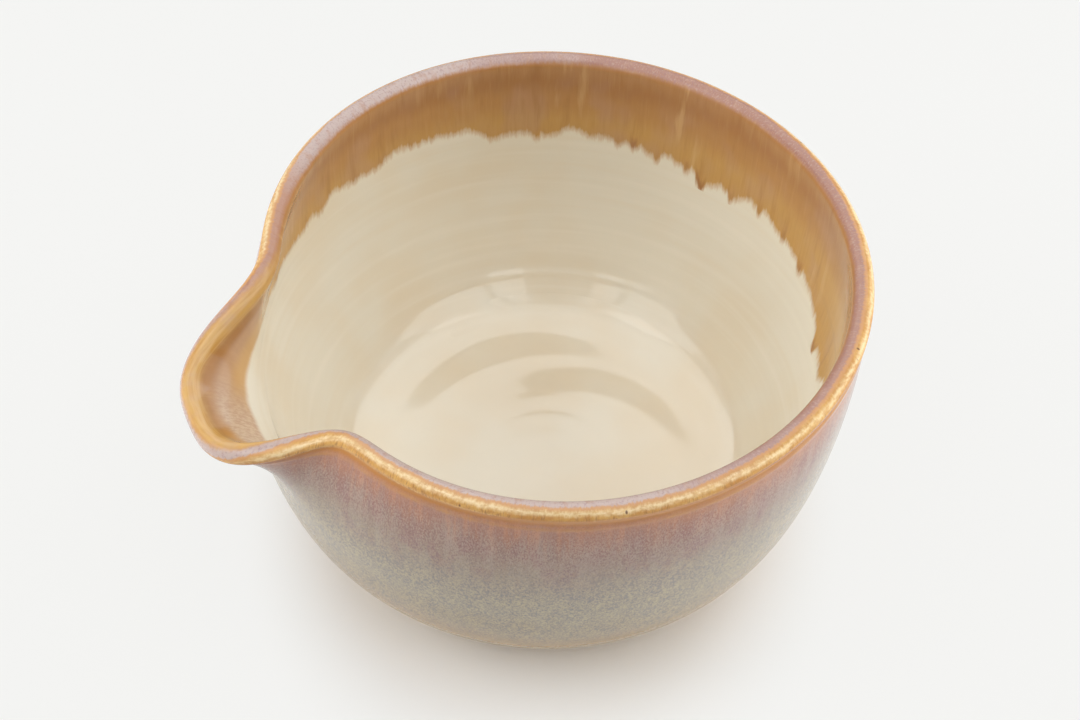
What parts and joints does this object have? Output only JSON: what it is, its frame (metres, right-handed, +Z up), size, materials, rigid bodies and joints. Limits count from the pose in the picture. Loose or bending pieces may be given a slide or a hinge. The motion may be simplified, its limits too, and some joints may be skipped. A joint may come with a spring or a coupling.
{
  "type": "spouted ceramic bowl",
  "caption": "Wheel-thrown stoneware bowl with a pouring spout pulled from its lip, a cream glazed inside, an amber glazed rim and a mottled grey outside.",
  "frame": {"origin": "middle of the flat foot, on the axis of the thrown pot", "axes": "+Z up along the axis of the pot, the spout along -X, +Y completes the right-handed frame"},
  "size_m": [0.2073, 0.1894, 0.1012],
  "materials": {
    "bare_clay": "unglazed buff stoneware",
    "cream_glaze": "glossy cream liner glaze",
    "mottled_glaze": "satin mauve to grey-green mottled glaze",
    "amber_glaze": "glossy amber rim glaze with runs"
  },
  "bodies": {
    "root": {"clay_body": "bare_clay", "liner_glaze": "cream_glaze", "outer_glaze": "mottled_glaze", "rim_glaze": "amber_glaze"}
  },
  "joints": []
}
